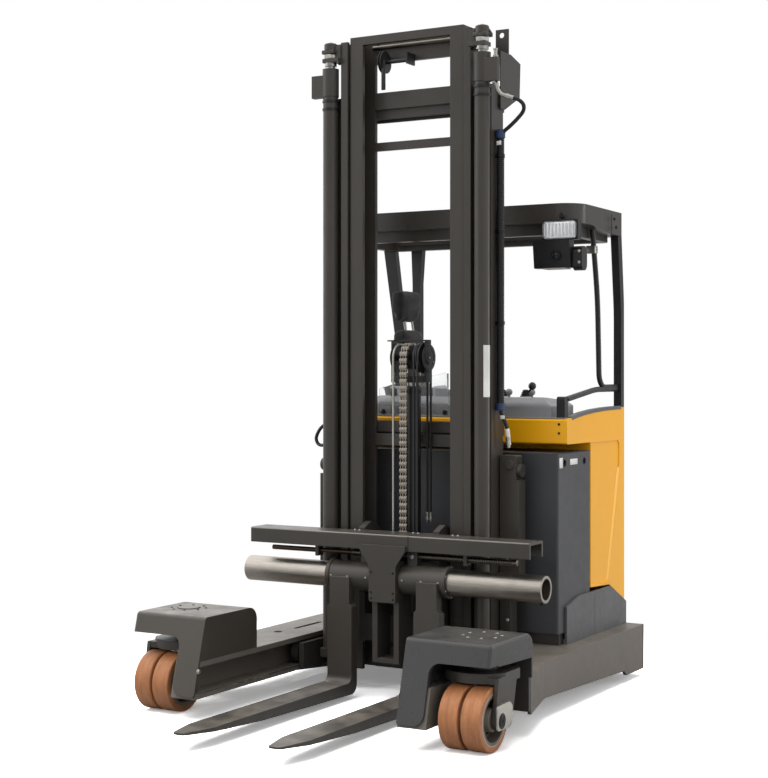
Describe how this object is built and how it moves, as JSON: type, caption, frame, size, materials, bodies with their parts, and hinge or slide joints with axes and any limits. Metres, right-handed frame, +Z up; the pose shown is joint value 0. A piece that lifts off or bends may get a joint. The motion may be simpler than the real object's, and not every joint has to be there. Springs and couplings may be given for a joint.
{
  "type": "multi-directional reach truck",
  "caption": "Four-way reach truck with a triple telescopic mast, forks on a round shaft, straddle legs with steered load wheels, and a side-seated cab under an overhead guard.",
  "frame": {"origin": "on the floor under the middle of the overall box", "axes": "+Z up, forks point to -Y, +X to the driver's facing side"},
  "size_m": [1.7, 2.35, 2.966],
  "materials": {
    "dark_paint": "satin charcoal paint",
    "black_paint": "satin black paint",
    "battery_paint": "satin blue-grey paint",
    "yellow_paint": "gloss yellow paint",
    "grey_plastic": "grained dark grey",
    "seat_fabric": "black woven",
    "lens_glass": "clear",
    "cast_grey": "machined and painted",
    "chrome_rod": "polished",
    "chain_steel": "oiled",
    "bright_steel": "drawn tube",
    "spindle_steel": "dark, oiled",
    "fork_paint": "satin charcoal, worn at the tips",
    "tread_brown": "polyurethane"
  },
  "bodies": {
    "chassis": {"chassis_leg_left": "dark_paint", "chassis_leg_right": "dark_paint", "rear_frame": "dark_paint", "wheel_cover_left": "dark_paint", "wheel_cover_right": "dark_paint", "battery": "battery_paint", "body_shell": "yellow_paint", "skirts": "grey_plastic", "cab_floor": "dark_paint", "seat_base": "grey_plastic", "seat_cushion": "seat_fabric", "seat_backrest": "seat_fabric", "seat_headrest": "seat_fabric", "seat_armrest": "grey_plastic", "dash": "grey_plastic", "roof": "dark_paint", "rear_pillars": "dark_paint", "hand_rails": "black_paint", "work_lamp": "black_paint", "lamp_lens": "lens_glass", "drive_motor": "cast_grey", "reach_barrel": "dark_paint"},
    "reach_carriage": {"reach_base": "dark_paint", "towers": "dark_paint", "reach_rod": "chrome_rod"},
    "mast_outer": {"outer_uprights": "dark_paint", "outer_crossbars": "dark_paint", "lift_barrels": "dark_paint", "hose_guard": "dark_paint"},
    "mast_middle": {"middle_uprights": "dark_paint", "middle_crossbars": "dark_paint", "lift_rods": "chrome_rod"},
    "mast_inner": {"inner_uprights": "dark_paint", "inner_crossbars": "dark_paint", "head_pulley": "black_paint", "free_lift_barrel": "black_paint"},
    "lift_crosshead": {"crosshead": "black_paint", "free_lift_rod": "chrome_rod", "sheaves": "black_paint", "lift_chain": "chain_steel"},
    "fork_carriage": {"carriage_frame": "dark_paint", "carriage_hub": "dark_paint", "fork_beam": "dark_paint", "fork_shaft": "bright_steel", "positioner_spindle": "spindle_steel"},
    "fork_l": {"fork_left": "fork_paint"},
    "fork_r": {"fork_right": "fork_paint"},
    "turntable_l": {"turntable_left": "dark_paint"},
    "turntable_r": {"turntable_right": "dark_paint"},
    "load_wheel_l": {"load_tyres_left": "tread_brown", "load_hub_left": "cast_grey"},
    "load_wheel_r": {"load_tyres_right": "tread_brown", "load_hub_right": "cast_grey"},
    "turret": {"drive_turret": "dark_paint"},
    "drive_wheel": {"drive_tyre": "tread_brown", "drive_hub": "cast_grey"}
  },
  "joints": [
    {"name": "reach", "type": "slide", "parent": "chassis", "child": "reach_carriage", "axis": [0, -1, 0], "range_m": [0, 0.59]},
    {"name": "mast_tilt", "type": "hinge", "parent": "reach_carriage", "child": "mast_outer", "pos_m": [0, 0.323, 1.0115], "axis": [-1, 0, 0], "range_deg": [0, 3]},
    {"name": "mast_lift_middle", "type": "slide", "parent": "mast_outer", "child": "mast_middle", "axis": [0, 0, 1], "range_m": [0, 2]},
    {"name": "mast_lift_inner", "type": "slide", "parent": "mast_middle", "child": "mast_inner", "axis": [0, 0, 1], "range_m": [0, 2]},
    {"name": "carriage_lift", "type": "slide", "parent": "mast_inner", "child": "fork_carriage", "axis": [0, 0, 1], "range_m": [0, 2.04]},
    {"name": "free_lift", "type": "slide", "parent": "mast_inner", "child": "lift_crosshead", "axis": [0, 0, 1], "range_m": [0, 1.02]},
    {"name": "fork_spread_right", "type": "slide", "parent": "fork_carriage", "child": "fork_r", "axis": [1, 0, 0], "range_m": [0, 0.19]},
    {"name": "fork_spread_left", "type": "slide", "parent": "fork_carriage", "child": "fork_l", "axis": [-1, 0, 0], "range_m": [0, 0.19]},
    {"name": "load_steer_right", "type": "hinge", "parent": "chassis", "child": "turntable_r", "pos_m": [0.712, -0.457, 0.275], "axis": [0, 0, 1], "range_deg": [0, 90]},
    {"name": "load_steer_left", "type": "hinge", "parent": "chassis", "child": "turntable_l", "pos_m": [-0.712, -0.457, 0.275], "axis": [0, 0, -1], "range_deg": [0, 90]},
    {"name": "load_wheel_right_spin", "type": "hinge", "parent": "turntable_r", "child": "load_wheel_r", "pos_m": [0.731, -0.575, 0.125], "axis": [1, 0, 0], "continuous": true},
    {"name": "load_wheel_left_spin", "type": "hinge", "parent": "turntable_l", "child": "load_wheel_l", "pos_m": [-0.731, -0.575, 0.125], "axis": [1, 0, 0], "continuous": true},
    {"name": "drive_steer", "type": "hinge", "parent": "chassis", "child": "turret", "pos_m": [-0.285, 0.96, 0.38], "axis": [0, 0, 1], "range_deg": [-95, 95]},
    {"name": "drive_wheel_spin", "type": "hinge", "parent": "turret", "child": "drive_wheel", "pos_m": [-0.285, 0.96, 0.1715], "axis": [1, 0, 0], "continuous": true}
  ],
  "couplings": [
    {"joint": "mast_lift_inner", "follows": "mast_lift_middle", "ratio": 1},
    {"joint": "free_lift", "follows": "carriage_lift", "ratio": 0.5},
    {"joint": "fork_spread_left", "follows": "fork_spread_right", "ratio": 1}
  ]
}
